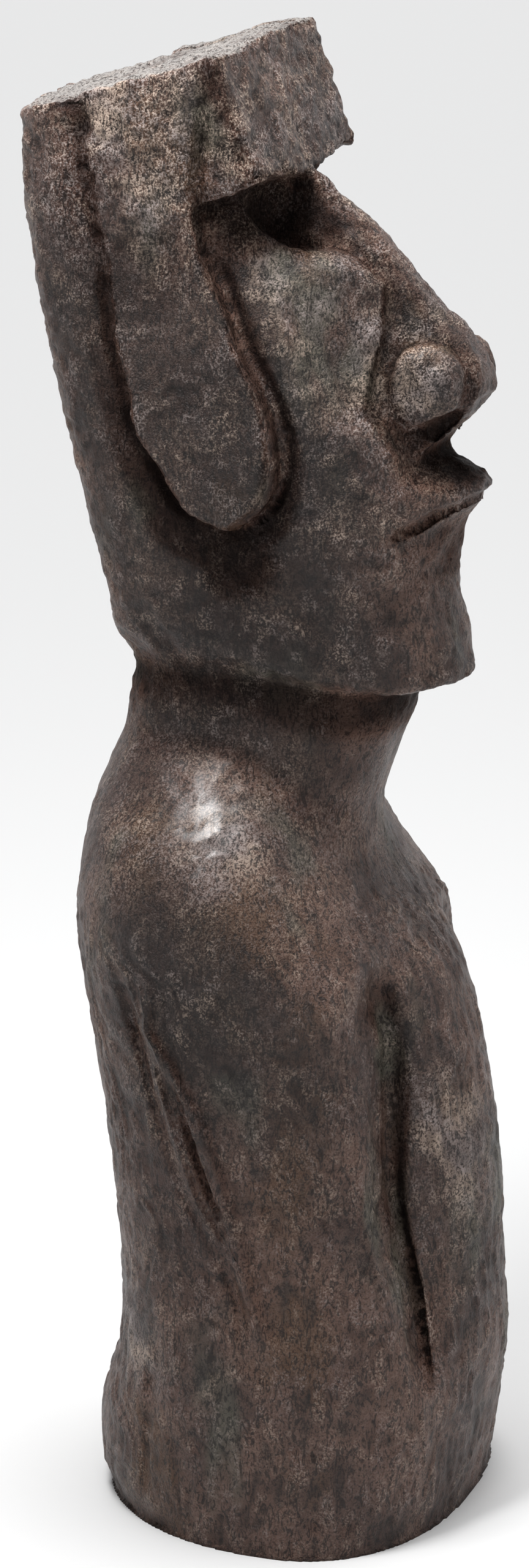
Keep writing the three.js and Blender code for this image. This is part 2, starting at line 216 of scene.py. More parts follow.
def mix(a, b, share):
    return a + (b - a) * share


def bell(t, width):
    return np.exp(-((t / width) ** 2))


def join(a, b, k):
    overlap = np.maximum(k - np.abs(a - b), 0)
    return np.minimum(a, b) - overlap * overlap / (4 * k)


def common(a, b, k):
    return -join(-a, -b, k)


def superellipse(x, y, half_width, depth, squareness):
    reach = np.abs(x / half_width) ** squareness + np.abs(y / depth) ** squareness
    length = np.hypot(x, y)
    return length - length / np.maximum(reach ** (1 / squareness), 1e-6)


def ellipsoid(x, y, z, centre, radii):
    x, y, z = x - centre[0], y - centre[1], z - centre[2]
    rx, ry, rz = radii
    k0 = np.sqrt((x / rx) ** 2 + (y / ry) ** 2 + (z / rz) ** 2)
    k1 = np.sqrt((x / rx**2) ** 2 + (y / ry**2) ** 2 + (z / rz**2) ** 2)
    return k0 * (k0 - 1) / np.maximum(k1, 1e-9)


def rounded_box(x, y, half_x, half_y, radius):
    qx = np.abs(x) - half_x + radius
    qy = np.abs(y) - half_y + radius
    return np.hypot(np.maximum(qx, 0), np.maximum(qy, 0)) + np.minimum(np.maximum(qx, qy), 0) - radius


SEED, LATTICE_SIZE = 7, 64
LATTICE = np.random.default_rng(SEED).random((LATTICE_SIZE,) * 3)


def noise(points, size, shift):
    """Smooth noise from 0 to 1 with bumps about this size in mm, a number or one for each axis."""
    p = points / np.array(size, float) + shift
    cell = np.floor(p).astype(int)
    s = p - cell
    s = s * s * s * (s * (6 * s - 15) + 10)
    value = np.zeros(len(points))
    for corner in np.ndindex(2, 2, 2):
        weight = np.prod(np.where(corner, s, 1 - s), axis=1)
        i, j, k = ((cell + corner) % LATTICE_SIZE).T
        value += weight * LATTICE[i, j, k]
    return value


# ---- Torso and neck ----
def torso_plan(x, y, z, half_width):
    middle = profile(TORSO_MIDDLE, z)
    in_front = y < middle
    depth = np.where(in_front, profile(TORSO_FRONT, z) + middle, profile(TORSO_BACK, z) - middle)
    squareness = np.where(in_front, profile(FRONT_SQUARENESS, z), profile(BACK_SQUARENESS, z))
    return superellipse(x, y - middle, half_width, depth, squareness)


def arm_strokes(behind_arm, y, z):
    """The ridges that run down the back of the arm, beside its rear groove."""
    from_strand = y - profile(STRAND, z)
    along = window(z, 95, 225, 18)
    beside = 1.1 * bell(from_strand - 6, 3) + 0.5 * bell(from_strand + 6, 3)
    ridge = STRAND_RISE * bell(from_strand, 3.2) - beside
    lip = ARM_LIP * bell(behind_arm + 6, 3.2)
    between = ramp(-behind_arm, 4, 9) * ramp(from_strand, -2, 3)
    ripple = RIPPLE * np.cos(2 * math.pi * behind_arm / RIPPLE_SPACING) * between
    return along * (ridge + lip + ripple)


def torso(x, y, z):
    belly = torso_plan(x, y, z, profile(BELLY_HALF_WIDTH, z))
    whole = torso_plan(x, y, z, profile(TORSO_HALF_WIDTH, z))
    arm_front = profile(ARM_FRONT, z)
    fold = bell(np.abs(x) - profile(BELLY_FOLD, z), 2.2) * window(z, 84, 104, 12) * (y < -40)
    cut_width = 2.2 + 3.6 * ramp(z, 120, 205)
    cut = ARM_FRONT_CUT * bell(y - arm_front + 1.5, cut_width) * window(z, 78, 215, 22) * (np.abs(x) > 30)
    belly = belly + cut + BELLY_FOLD_DEPTH * fold
    behind_arm = y - profile(ARM_REAR, z)
    whole = whole - arm_strokes(behind_arm, y, z)
    arms = common(whole, (arm_front - y) * 0.95, 3.5 + 4.5 * ramp(z, 120, 200))
    groove = profile(ARM_GROOVE, z)
    behind = ramp(behind_arm, 0, 8) * (1 - ramp(behind_arm, 10, 45))
    carved = groove * bell(behind_arm, 3.2) + BEHIND_ARM * window(z, 120, 205, 40) * behind
    crease = BACK_CREASE_DEPTH * bell(y - profile(BACK_CREASE, z), 2.5) * window(z, 22, 62, 10)
    return common(join(belly, arms, 2) + carved + crease, z - TORSO_TOP, 10)


def neck(x, y, z):
    in_front = y < NECK_MIDDLE
    depth = np.where(in_front, profile(NECK_FRONT, z) + NECK_MIDDLE, profile(NECK_BACK, z) - NECK_MIDDLE)
    squareness = np.where(in_front, NECK_FRONT_SQUARENESS, NECK_BACK_SQUARENESS)
    plan = superellipse(x, y - NECK_MIDDLE, NECK_HALF_WIDTH, depth, squareness)
    return np.maximum(plan, np.maximum(z - NECK_TOP, NECK_BOTTOM - z))


# ---- Head ----
def above_crown(x, h):
    return h - CROWN_HEIGHT + CROWN_DOME * (x / 60) ** 2


def skull(x, f, h):
    in_front = f > 0
    depth = np.where(in_front, profile(SKULL_FRONT, h), profile(SKULL_BACK, h))
    squareness = np.where(in_front, profile(SKULL_SQUARENESS, h), SKULL_BACK_SQUARENESS)
    plan = superellipse(x, f, profile(SKULL_HALF_WIDTH, h), depth, squareness)
    cheek = (f + CHEEK_SLOPE * np.abs(x) - profile(CHEEK_REACH, h)) / math.hypot(1, CHEEK_SLOPE)
    plan = common(plan, cheek, 3)
    in_front_of_ear = EAR_CHANNEL * bell(f - profile(EAR_FRONT, h) - 1.2, 2.2) * window(h, 86, 168, 18)
    behind_ear = EAR_REAR_CHANNEL * bell(f - profile(EAR_REAR, h) + 1.8, 3.0) * window(h, 96, 178, 16)
    up = h - BLOCK_BOTTOM
    block_rear = BLOCK_F - BLOCK_HALF_DEPTH + (BLOCK_LEAN - BLOCK_BROADENING) * up
    behind_block = BLOCK_CRACK * bell(f - block_rear + 1.5, 2.6) * window(h, 200, 238, 14)
    channels = (in_front_of_ear + behind_ear + behind_block) * (np.abs(x) > 35)
    return common(plan + channels, above_crown(x, h), 3)


def block_front(h):
    return BLOCK_F + BLOCK_HALF_DEPTH + (BLOCK_LEAN + BLOCK_BROADENING) * (h - BLOCK_BOTTOM)


def brow(x, f, h):
    bottom = BROW_BOTTOM - BROW_SAG * bell(x, 20)
    face = f - (BROW_FRONT - BROW_SLOPE * (h - BROW_BOTTOM))
    crack = BLOCK_CRACK * bell(f - block_front(h) - 1.6, 2.4) * window(h, 188, 220, 16)
    sides = np.abs(x) - BROW_HALF_WIDTH + 1.6 * (1 - ramp(h, 198, 222)) + crack
    corners = common(face, sides, 12)
    ends = np.maximum(bottom - h, above_crown(x, h))
    return np.maximum(common(corners, ends, 3.5), BROW_REAR - f)


def nose(x, f, h):
    bridge = profile(NOSE_BRIDGE, h)
    flare = profile(NOSE_FLARE, h)
    half_width = profile(NOSE_HALF_WIDTH, h) + flare * np.maximum(bridge - f, 0)
    sides = (np.abs(x) - half_width) / np.hypot(1, flare)
    underside = (NOSE_BOTTOM + 0.5 * (f - 91) - h) * 0.9
    ends = np.maximum(common(underside, h - NOSE_TOP, 2), 40 - f)
    body = common(common((f - bridge) * 0.9, sides, 7), ends, 4)
    wing = ellipsoid(np.abs(x), f, h, NOSTRIL_CENTRE, NOSTRIL_RADII)
    wing = common(common(wing, NOSTRIL_BOTTOM - h, 2), np.abs(x) - NOSTRIL_OUTSIDE, 3)
    around_wing = 0.6 * bell(wing - 1.5, 1.6) * (np.abs(x) > 12) * (1 - ramp(f, 84, 96))
    hole = ellipsoid(np.abs(x), f, h, NOSTRIL_HOLE, NOSTRIL_HOLE_RADII)
    return common(join(body + around_wing, wing, 2.5), -hole, 2)


def mouth_carving(x, f, h):
    """What the line between the lips takes off, less what the roll of each lip beside it adds."""
    above = h - LIP_LINE + LIP_DROOP * ramp(np.abs(x), 0, 38)
    groove = LIP_GROOVE * bell(above, 1.8) * ramp(np.abs(x), -20, 20)
    overhang = 0.9 * np.tanh(above / 1.2) * bell(above, 9)
    lower_roll = 0.8 * bell(above + 3.5, 2.4)
    ends = 1 - ramp(np.abs(x), LIP_HALF_WIDTH - 6, LIP_HALF_WIDTH + 2)
    return (groove - overhang - lower_roll) * ends * (f > 50)


def ear(x, f, h):
    front = profile(EAR_FRONT, h)
    rear = profile(EAR_REAR, h)
    half = (front - rear) / 2
    across = f - (front + rear) / 2
    outline = common(np.abs(across) - half, np.maximum(EAR_BOTTOM - h, h - EAR_TOP), 14)
    hollow = EAR_HOLLOW * np.maximum(1 - (across / half) ** 2, 0) * window(h, 140, 178, 24)
    lobe = 1 - ramp(h, 92, 132)
    outside = EAR_OUTSIDE - 1.5 + EAR_LOBE * lobe - 4.5 * ramp(h, 135, 192) - hollow
    strap = common(outline, np.abs(x) - outside, 2.5 + 5 * lobe)
    up = h - BLOCK_BOTTOM
    half_depth = BLOCK_HALF_DEPTH + BLOCK_BROADENING * up
    along = f - BLOCK_F - BLOCK_LEAN * up
    block_outline = rounded_box(along, up - BLOCK_MIDDLE, half_depth, BLOCK_HALF_HEIGHT, BLOCK_ROUNDING)
    block_side = np.abs(x) - BLOCK_OUTSIDE + 2.5 * (1 - ramp(h, 200, 228))
    block = common(common(block_outline, block_side, 5), above_crown(x, h), 4)
    return np.maximum(join(strap, block, 6), 45 - np.abs(x))


def jaw_underside(x, y):
    behind = 0.12 * np.maximum(y + 25, 0)
    chin = 0.3 * np.maximum(-52 - y, 0)
    return JAW_BOTTOM + JAW_ARCH * (x / 50) ** 2 + behind + chin


def head(x, y, z):
    up = z - HEAD_PIVOT
    f = -y * math.cos(HEAD_TILT) + up * math.sin(HEAD_TILT)
    h = y * math.sin(HEAD_TILT) + up * math.cos(HEAD_TILT)
    points = np.stack([x, y, z], 1)
    f = f + UNEVENNESS * (noise(points, 17, 2.9) - 0.5)
    h = h + UNEVENNESS * (noise(points, 17, 8.1) - 0.5)
    rise = EYE_SLANT * (np.abs(x) - EYE_CENTRE[0])
    socket = ellipsoid(np.abs(x), f, h - rise, EYE_CENTRE, EYE_RADII)
    d = common(skull(x, f, h), -socket, 7)
    d = join(d, ellipsoid(x, f, h, LIPS_CENTRE, LIPS_RADII), 8) + mouth_carving(x, f, h)
    proud = nose(x, f, h)
    crease = NOSE_CREASE * bell(proud - 1, 2.2) * window(h, 96, 176, 14) * (np.abs(x) > 10)
    d = join(d + crease, proud, 1.5)
    d = join(d, brow(x, f, h), 2)
    d = join(d, ear(x, f, h), 1.5 + 4.5 * ramp(h, 190, 215))
    return common(d, jaw_underside(x, y) - z, 5 + 8 * ramp(y, -20, 30))


def chipped(d, x, y, z):
    for cx, cy, cz, radius, depth in CHIPS:
        away = (x - cx) ** 2 + (y - cy) ** 2 + (z - cz) ** 2
        d = d + depth * np.exp(-away / radius**2)
    return d


def statue(x, y, z):
    """The signed distance at flat arrays of points. Each half is only worked out where it counts."""
    far = 60.0
    body = np.full(x.shape, far)
    top = np.full(x.shape, far)
    low = z < 392
    high = z > 316
    xl, yl, zl = x[low], y[low], z[low]
    body[low] = join(torso(xl, yl, zl), neck(xl, yl, zl), 9)
    top[high] = head(x[high], y[high], z[high])
    return chipped(join(body, top, 3 + 7 * ramp(y, -10, 40)), x, y, z)


def standing(points):
    """The statue, cut off flat at the floor."""
    x, y, z = points.T
    return np.maximum(statue(x, y, z), -z)


# ---- The surface as a mesh ----
GRID_STEP = 1.3
MOST_TRIANGLES = 196000
BLOCK_CELLS = 4  # the field is first looked at once in each block of this many cells a side
NEAR_SURFACE = 17  # and then worked out in every cell of a block that is nearer the surface than this
GRID_LOW = np.array([-106.0, -108.0, -6.0])
GRID_HIGH = np.array([106.0, 112.0, 602.0])


def distance_grid():
    block = GRID_STEP * BLOCK_CELLS
    blocks = np.ceil((GRID_HIGH - GRID_LOW) / block).astype(int)
    middles = [GRID_LOW[i] + block * (np.arange(blocks[i]) + 0.5) - GRID_STEP / 2 for i in range(3)]
    points = np.stack(np.meshgrid(*middles, indexing="ij"), -1).reshape(-1, 3)
    field = standing(points).reshape(blocks)
    for axis in range(3):
        field = np.repeat(field, BLOCK_CELLS, axis)
    near = np.argwhere(np.abs(field) < NEAR_SURFACE)
    field[tuple(near.T)] = standing(GRID_LOW + near * GRID_STEP)
    return field


def surface_nets(field):
    """One vertex in each cell that the surface crosses, and a quad across each crossed edge, facing out."""
    inside = field < 0
    shape = np.array(field.shape)
    corners = [(i, j, k) for i in (0, 1) for j in (0, 1) for k in (0, 1)]
    count = sum(
        inside[i : shape[0] - 1 + i, j : shape[1] - 1 + j, k : shape[2] - 1 + k].astype(np.int8)
        for i, j, k in corners
    )
    cells = np.argwhere((count > 0) & (count < 8))
    index = np.full(count.shape, -1)
    index[tuple(cells.T)] = np.arange(len(cells))
    total = np.zeros((len(cells), 3))
    crossings = np.zeros(len(cells))
    cell_edges = [(a, b) for a in corners for b in corners if a < b and sum(np.abs(np.subtract(a, b))) == 1]
    for a, b in cell_edges:
        at_a = field[tuple((cells + a).T)]
        at_b = field[tuple((cells + b).T)]
        crossed = (at_a < 0) != (at_b < 0)
        share = at_a[crossed] / (at_a[crossed] - at_b[crossed])
        total[crossed] += np.array(a) + share[:, None] * np.subtract(b, a)
        crossings[crossed] += 1
    vertices = GRID_LOW + (cells + total / crossings[:, None]) * GRID_STEP
    quads = []
    for axis in range(3):
        u, v = (axis + 1) % 3, (axis + 2) % 3
        ahead = np.roll(inside, -1, axis)
        crossed = np.argwhere(inside != ahead)
        leaving = inside[tuple(crossed.T)]

        def cell(back_u, back_v):
            other = crossed.copy()
            other[:, u] -= back_u
            other[:, v] -= back_v
            return index[tuple(other.T)]

        quad = np.stack([cell(1, 1), cell(0, 1), cell(0, 0), cell(1, 0)], 1)
        quad[~leaving] = quad[~leaving][:, ::-1]
        quads.append(quad)
    return vertices, np.concatenate(quads)


def gradient(points, reach=0.4):
    slopes = []
    for axis in range(3):
        offset = np.zeros(3)
        offset[axis] = reach
        slopes.append(statue(*(points + offset).T) - statue(*(points - offset).T))
    return np.stack(slopes, 1) / (2 * reach)


def settle(points, base):
    """Moves points onto the surface, apart from those of the flat base, and gives the normals there."""
    slope = gradient(points)
    steep = np.maximum((slope**2).sum(1), 0.1)
    move = np.clip(statue(*points.T) / steep, -1, 1)
    move[base] = 0
    points = points - move[:, None] * slope
    normals = slope / np.sqrt(steep)[:, None]
    normals[base] = (0, 0, -1)
    return points, normals


# ---- Relief of the stone ----
LEAST_SAND, MOST_SAND = 0.15, 0.9
OPEN_AIR = 7.0  # how far out a hollow is felt for
OPEN_SKY = 22.0  # and how far up and out the shelter of an overhang
EDGE_DEPTH = 4.0  # and how far in an edge is


def edges(points, normals):
    """How much of an edge the form makes at each point: 0 on a flat face."""
    inside = statue(*(points - EDGE_DEPTH * normals).T)
    return 1 + (inside - statue(*points.T)) / EDGE_DEPTH


def stroke_frame(points):
    """Coordinates in which tool strokes run along the last axis. They swerve, and lean on the torso."""
    x, y, z = points.T
    lean = 0.28 * ramp(z, 60, 240) * (1 - ramp(z, 240, 300))
    swerve = 18 * noise(points, 24, 7.7)
    return np.stack([x + swerve, y - lean * (z - 150) + swerve, z], 1)


def bumps(points, kind, shift):
    """Bumps of one kind, from 0 up to their depth."""
    depth, size = kind
    return depth * noise(points, size, shift)


def even_bumps(points, kind, shift):
    """The same bumps, as much above zero as below."""
    return bumps(points, kind, shift) - kind[0] / 2


def relief(points, edge):
    """How far the worn stone lies below the smooth form, in mm, and the fine part of it for the colour."""
    z = points[:, 2]
    along_strokes = stroke_frame(points)
    on_body = 1 - ramp(z, 290, 345)
    on_crown = ramp(z, 505, 545)
    on_shoulders = window(z, 265, 310, 25)
    lumps = bumps(points, LUMPS, 3.1) + (1 - 0.5 * on_body) * bumps(points, SMALL_LUMPS, 9.7)
    grain = even_bumps(points, GRAIN, 1.3) + even_bumps(points, FINE_GRAIN, 5.9)
    strokes = even_bumps(along_strokes, STROKES, 2.2) + even_bumps(along_strokes, LONG_STROKES, 4.4)
    coarse = even_bumps(points, CROWN_GRAIN, 6.1) * on_crown
    breaks = mix(EDGE_BREAKS, CROWN_BREAKS, on_crown)
    broken = breaks * ramp(edge, 0.15, 0.6) * ramp(noise(points, BREAK_SIZE, 8.3), 0.35, 0.8)
    fine = grain * mix(1, 0.4, on_body) + strokes * mix(0.2, 0.95, on_body) + coarse
    fine = fine * mix(1, 0.5, on_shoulders)
    return np.maximum(HIGHEST_BUMP + lumps + fine + broken, 0), fine


def thinned(mesh, most_triangles):
    """The mesh with its edges collapsed, least needed first, until it has at most this many triangles."""
    shaped = bpy.data.objects.new("shaped", mesh)
    bpy.context.scene.collection.objects.link(shaped)
    triangles = 2 * len(mesh.polygons)
    collapse = shaped.modifiers.new("thin", "DECIMATE")
    collapse.ratio = min(1.0, most_triangles / triangles)
    made = bpy.data.meshes.new_from_object(shaped.evaluated_get(bpy.context.evaluated_depsgraph_get()))
    bpy.data.objects.remove(shaped)
    return made


def positions(mesh):
    flat = np.zeros(len(mesh.vertices) * 3, np.float32)
    mesh.vertices.foreach_get("co", flat)
    return flat.reshape(-1, 3)


def keep_inside_cad_box(mesh):
    inside = np.clip(positions(mesh), np.array(CAD_LOW), np.array(CAD_HIGH))
    mesh.vertices.foreach_set("co", inside.astype(np.float32).ravel())


def stone_mesh():
    vertices, quads = surface_nets(distance_grid())
    base = vertices[:, 2] < 0.3 * GRID_STEP
    vertices[base, 2] = 0
    vertices, normals = settle(vertices, base)
    lowered, _ = relief(vertices, edges(vertices, normals))
    lowered[base] = 0
    vertices = (vertices - lowered[:, None] * normals) * MM
    mesh = bpy.data.meshes.new("moai")
    mesh.from_pydata(vertices.tolist(), [], quads.tolist())
    mesh.validate()
    mesh = thinned(mesh, MOST_TRIANGLES)
    keep_inside_cad_box(mesh)
    mesh.shade_smooth()
    for name, values in surface_facts(mesh):
        attribute = mesh.attributes.new(name, "FLOAT", "POINT")
        attribute.data.foreach_set("value", values.astype(np.float32))
    return mesh


def surface_facts(mesh):
    """What the material reads at each vertex, such as how hollow, sheltered, edge-like or stained it is."""
    points = positions(mesh).astype(float) / MM
    slope = gradient(points, 1.0)
    normals = slope / np.maximum(np.linalg.norm(slope, axis=1), 0.2)[:, None]
    edge = edges(points, normals)
    _, fine = relief(points, edge)
    height = statue(*points.T)
    open_air = statue(*(points + OPEN_AIR * normals).T) - height
    skyward = normals + (0, 0, 0.7)
    skyward *= OPEN_SKY / np.linalg.norm(skyward, axis=1)[:, None]
    open_sky = statue(*(points + skyward).T) - height
    # The cavity and shelter facts drive dirt with painted shade in the hollows and painted shadow under the
    # overhangs. The fact for the upright sides is painted shade. Upward and crown make faces turned up
    # paler, as painted light from above.
    facts = [
        ("cavity", 1 - open_air / OPEN_AIR),
        ("shelter", 1 - open_sky / OPEN_SKY),
        ("edge", edge),
        ("fine", fine),
        ("upward", normals[:, 2]),
        ("sandy", sandiness(points)),
        ("side_shade", side_shade(points, normals)),
        ("crown", ramp(normals[:, 2], 0.8, 0.93) * ramp(points[:, 2], 535, 550)),
    ]
    return facts + [(name, stain(points, patches)) for name, patches in STAINS.items()]


def sandiness(points):
    """How much pale sandy grain shows: most on the crown, then on the face, then over the shoulders."""
    _, y, z = points.T
    crown = ramp(z, 500, 540)
    face = 0.35 * ramp(-y, 0, 40) * ramp(z, 360, 430)
    shoulders = 0.25 * bell(z - 285, 26)
    return mix(LEAST_SAND, MOST_SAND, np.maximum(crown, np.maximum(face, shoulders)))


def side_shade(points, normals):
    """Painted shade on the upright sides, from the elbows up to the crown."""
    z = points[:, 2]
    return ramp(np.abs(normals[:, 0]), 0.68, 0.95) * ramp(z, 150, 215) * (1 - ramp(z, 500, 530))


def stain(points, patches):
    """Patches with ragged outlines, somewhat taller than they are wide."""
    amount = np.zeros(len(points))
    ragged = points + 18 * (noise(points, 11, 3.3)[:, None] - 0.5)
    for px, py, pz, radius in patches:
        away = (((ragged - (px, py, pz)) * (1, 1, 0.7)) ** 2).sum(1)
        amount += np.exp(-away / radius**2)
    return np.minimum(amount, 1)


# ---- Stone material ----
def linear(*srgb):
    """A colour given as 0 to 255 sRGB, in the linear values that shaders take."""
    parts = [c / 255 for c in srgb]
    return [p / 12.92 if p <= 0.04045 else ((p + 0.055) / 1.055) ** 2.4 for p in parts] + [1.0]


DARK_STONE, LIGHT_STONE = linear(67, 49, 43), linear(100, 76, 66)
RUST_STAIN, GREEN_STAIN = linear(84, 60, 43), linear(84, 84, 74)
# The first two colours stand for dirt and dark grain, and also for painted shade in the hollows, under the
# overhangs and on the upright sides.
DIRT_AND_SHADE, THIN_DIRT_AND_SHADE, STROKE_DIRT = linear(20, 16, 15), linear(24, 19, 18), linear(28, 22, 21)
WARM_SAND, GREY_SAND, CROWN_GREY = linear(176, 157, 142), linear(152, 140, 136), linear(143, 138, 134)
SAND_SCALE, COARSE_SAND_SCALE, STROKE_SCALE = 1300, 620, 420  # in grains or strokes for each metre
SAND_RELIEF, WAX_RELIEF = 0.002, 0.0014  # depth of the finest bumps, in metres
SHINE, THIN_WAX, THICK_WAX, WAX_ROUGHNESS = 0.25, 0.2, 0.8, 0.32


class Nodes:
    """A short way to make and join shader nodes."""

    def __init__(self, tree):
        self.tree = tree

    def add(self, kind, **inputs):
        made = self.tree.nodes.new(kind)
        for name, value in inputs.items():
            self.put(value, made.inputs[name.replace("_", " ")])
        return made

    def put(self, value, socket):
        """Joins another node's result to the socket, or sets the socket to a plain value."""
        if isinstance(value, bpy.types.NodeSocket):
            self.tree.links.new(value, socket)
        else:
            socket.default_value = value

    def noise(self, where, scale, detail=2.0, roughness=0.55, swirl=0.0):
        made = self.add("ShaderNodeTexNoise", Vector=where, Scale=scale, Detail=detail, Roughness=roughness)
        self.put(swirl, made.inputs["Distortion"])
        return made.outputs["Fac"]

    def stretched(self, where, scale):
        made = self.add("ShaderNodeMapping", Vector=where, Scale=scale)
        return made.outputs["Vector"]

    def attribute(self, name):
        made = self.tree.nodes.new("ShaderNodeAttribute")
        made.attribute_name = name
        return made.outputs["Fac"]

    def scaled(self, name, factor):
        return self.math("MULTIPLY", self.attribute(name), factor)

    def between(self, value, low, high, to_low=0.0, to_high=1.0):
        made = self.tree.nodes.new("ShaderNodeMapRange")
        made.interpolation_type = "SMOOTHSTEP"
        inputs = {"Value": value, "From Min": low, "From Max": high, "To Min": to_low, "To Max": to_high}
        for name, given in inputs.items():
            self.put(given, made.inputs[name])
        return made.outputs["Result"]

    def math(self, operation, a, b):
        made = self.tree.nodes.new("ShaderNodeMath")
        made.operation = operation
        for socket, value in zip(made.inputs, (a, b)):
            self.put(value, socket)
        return made.outputs["Value"]

    def mix(self, share, a, b):
        made = self.tree.nodes.new("ShaderNodeMix")
        made.data_type = "RGBA"
        for name, value in (("Factor_Float", share), ("A_Color", a), ("B_Color", b)):
            self.put(value, next(s for s in made.inputs if s.identifier == name))
        return next(s for s in made.outputs if s.identifier == "Result_Color")


def stone_material():
    material = bpy.data.materials.new("stone")
    material.use_nodes = True
    shader = material.node_tree.nodes["Principled BSDF"]
    n = Nodes(material.node_tree)
    where = n.add("ShaderNodeTexCoord").outputs["Object"]
    cavity = n.attribute("cavity")
    edge = n.attribute("edge")
    fine = n.attribute("fine")
    upward = n.attribute("upward")

    # Broad patches: darker and lighter stone, rust-brown and grey-green stains.
    colour = n.mix(n.between(n.noise(where, 24, 3), 0.36, 0.66), DARK_STONE, LIGHT_STONE)
    rust = n.math("ADD", n.noise(n.stretched(where, (1, 1, 0.6)), 19, 3, 0.6), n.scaled("rust", 0.26))
    colour = n.mix(n.between(rust, 0.57, 0.76, 0.0, 0.75), colour, RUST_STAIN)
    green = n.math("ADD", n.noise(n.stretched(where, (1.3, 1.3, 0.5)), 24, 2, 0.6), n.scaled("green", 0.22))
    colour = n.mix(n.between(green, 0.58, 0.76, 0.0, 0.75), colour, GREEN_STAIN)

    # Dirt and painted shade lie in the hollows, painted shadow under the overhangs, and painted shade on
    # the upright sides.
    colour = n.mix(n.between(cavity, 0.15, 1.0, 0.0, 0.9), colour, DIRT_AND_SHADE)
    shelter = n.attribute("shelter")
    # Painted shadow under the overhangs, where little of the sky is seen.
    colour = n.mix(n.between(shelter, 0.3, 0.85, 0.0, 0.8), colour, DIRT_AND_SHADE)
    # Painted shade over the upright sides, from the elbows to the crown.
    colour = n.mix(n.scaled("side_shade", 0.68), colour, THIN_DIRT_AND_SHADE)
    colour = n.mix(n.between(fine, 0.05, 0.7, 0.0, 0.7), colour, STROKE_DIRT)

    # What is worn, along edges and on the high grains, is pale; faces turned up, the crown's top most, are
    # made paler too, as painted light from above.
    grain = n.noise(where, SAND_SCALE, 2, 0.7)
    coarse_grain = n.noise(where, COARSE_SAND_SCALE, 1, 0.5)
    sand = n.math("ADD", n.math("MULTIPLY", grain, 0.7), n.math("MULTIPLY", coarse_grain, 0.3))
    patchy = n.between(n.noise(where, 48, 3), 0.36, 0.62, 0.2, 1.15)
    # The share for faces turned up is painted light from above; the share for edges is wear.
    wear_and_top_light = n.math("ADD", n.between(upward, 0.3, 0.95, 0.0, 0.3), n.between(edge, 0.08, 0.45, 0.0, 0.35))
    wear_and_top_light = n.math("MULTIPLY", n.math("ADD", wear_and_top_light, n.attribute("sandy")), patchy)
    # The crown's top is made paler as painted light; the pale patches are worn stone, the one on the
    # shoulder partly a painted highlight.
    bare_and_painted_light = n.math("ADD", n.attribute("pale"), n.attribute("crown"))
    wear_and_top_light = n.math("ADD", wear_and_top_light, n.math("MULTIPLY", bare_and_painted_light, 0.4))
    wear_and_top_light = n.math("ADD", wear_and_top_light, n.between(fine, 0.0, -0.5, 0.0, 0.38))
    # Fewer pale grains in the hollows and under the overhangs, which deepens their dirt, painted shade and
    # painted shadow.
    wear_and_top_light = n.math("MULTIPLY", wear_and_top_light, n.between(cavity, 0.15, 0.7, 1.0, 0.35))
    wear_and_top_light = n.math("MULTIPLY", wear_and_top_light, n.between(shelter, 0.2, 0.6, 1.0, 0.25))
    worn_sand = n.math("ADD", sand, n.math("MULTIPLY", bare_and_painted_light, 0.09))
    pale = n.math("MINIMUM", n.math("MULTIPLY", n.between(worn_sand, 0.46, 0.62), wear_and_top_light), 1.0)
    sand_colour = n.mix(n.between(n.noise(where, 60, 2), 0.4, 0.6), WARM_SAND, GREY_SAND)
    sand_colour = n.mix(n.attribute("crown"), sand_colour, CROWN_GREY)
    colour = n.mix(pale, colour, sand_colour)
    colour = n.mix(n.between(sand, 0.46, 0.34, 0.0, 0.8), colour, DIRT_AND_SHADE)

    # Short swirling strokes hold dirt too.
    strokes = n.noise(n.stretched(where, (1.0, 1.0, 0.4)), STROKE_SCALE, 2, 0.6, 2.0)
    colour = n.mix(n.between(strokes, 0.5, 0.38, 0.0, 0.75), colour, THIN_DIRT_AND_SHADE)
    n.put(colour, shader.inputs["Base Color"])

    roughness = n.between(n.noise(where, 90, 3, 0.6), 0.3, 0.7, 0.4, 0.56)
    n.put(roughness, shader.inputs["Roughness"])
    open_face = n.between(cavity, 0.05, 0.4, 1.0, 0.1)
    polish = n.math("MULTIPLY", open_face, n.between(shelter, 0.1, 0.5, 1.0, 0.1))
    n.put(n.math("MULTIPLY", polish, SHINE), shader.inputs["Specular IOR Level"])

    # Bumps for the sandy grain and the strokes, which are too fine for the mesh.
    height = n.math("ADD", n.math("MULTIPLY", sand, 0.65), n.math("MULTIPLY", strokes, 0.35))
    bump = n.add("ShaderNodeBump", Strength=1.0, Distance=SAND_RELIEF, Height=height)
    n.put(bump.outputs["Normal"], shader.inputs["Normal"])

    # A thin wax over it, smoother than the stone.
    wax = n.add("ShaderNodeBump", Strength=0.08, Distance=WAX_RELIEF, Height=height)
    n.put(wax.outputs["Normal"], shader.inputs["Coat Normal"])
    waxed = n.math("ADD", n.scaled("waxed", THICK_WAX), THIN_WAX)
    n.put(n.math("MULTIPLY", polish, waxed), shader.inputs["Coat Weight"])
    n.put(WAX_ROUGHNESS, shader.inputs["Coat Roughness"])
    return material


def floor_material():
    material = bpy.data.materials.new("pale_floor")
    material.use_nodes = True
    shader = material.node_tree.nodes["Principled BSDF"]
    shader.inputs["Base Color"].default_value = (FLOOR_GREY, FLOOR_GREY, FLOOR_GREY, 1)
    shader.inputs["Roughness"].default_value = 0.9
    shader.inputs["Specular IOR Level"].default_value = 0.0
    return material


# ---- The statue ----
def make_statue():
    mesh = stone_mesh()
    mesh.materials.append(stone_material())
    piece = bpy.data.objects.new("moai_stone", mesh)
    bpy.context.scene.collection.objects.link(piece)
    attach(piece, "root")
    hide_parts("moai_statue")


